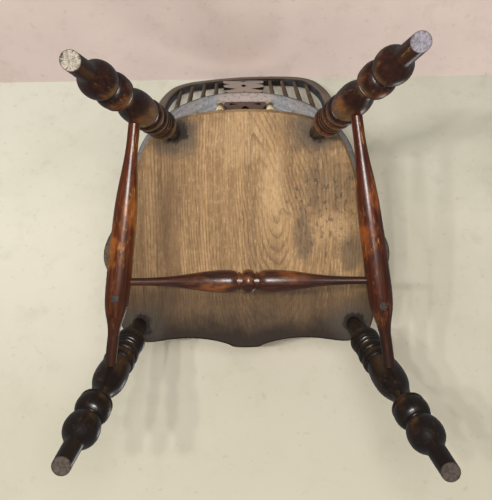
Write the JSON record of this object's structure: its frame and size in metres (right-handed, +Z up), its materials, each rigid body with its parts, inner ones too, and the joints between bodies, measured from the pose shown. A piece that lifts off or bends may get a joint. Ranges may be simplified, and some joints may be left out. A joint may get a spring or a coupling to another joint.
{
  "type": "windsor chair",
  "caption": "High-backed windsor armchair: hollowed plank seat, splayed turned legs with stretchers, flat bent arm bow, leaning bent hoop, turned sticks and fretted splats.",
  "frame": {"origin": "bottom centre of the bounding box, on the floor", "axes": "+Z up, the chair faces -Y, its middle plane is x = 0, the sitter's left is +X"},
  "size_m": [0.641, 0.6668, 1.0584],
  "materials": {
    "plank_wood": "old waxed elm, bare and dry below",
    "turned_wood": "dark red-brown stain, glossy and rubbed",
    "bent_wood": "dark stain, bare grey wood below the arms",
    "stick_wood": "dark brown stain, worn satin",
    "splat_wood": "brown stain, satin",
    "plug_wood": "grey end grain"
  },
  "bodies": {
    "root": {"arm_bow": "bent_wood", "arm_support_left": "turned_wood", "arm_support_right": "turned_wood", "back_bow": "bent_wood", "bow_wedge_left": "plug_wood", "bow_wedge_right": "plug_wood", "cross_stretcher": "turned_wood", "leg_front_left": "turned_wood", "leg_front_right": "turned_wood", "leg_rear_left": "turned_wood", "leg_rear_right": "turned_wood", "long_stick_left_1": "stick_wood", "long_stick_left_2": "stick_wood", "long_stick_left_3": "stick_wood", "long_stick_left_4": "stick_wood", "long_stick_right_1": "stick_wood", "long_stick_right_2": "stick_wood", "long_stick_right_3": "stick_wood", "long_stick_right_4": "stick_wood", "lower_splat": "splat_wood", "seat": "plank_wood", "short_stick_left_1": "stick_wood", "short_stick_left_2": "stick_wood", "short_stick_left_3": "stick_wood", "short_stick_left_4": "stick_wood", "short_stick_right_1": "stick_wood", "short_stick_right_2": "stick_wood", "short_stick_right_3": "stick_wood", "short_stick_right_4": "stick_wood", "side_stretcher_left": "turned_wood", "side_stretcher_right": "turned_wood", "stretcher_plug_left": "plug_wood", "stretcher_plug_right": "plug_wood", "upper_splat": "splat_wood"}
  },
  "joints": []
}
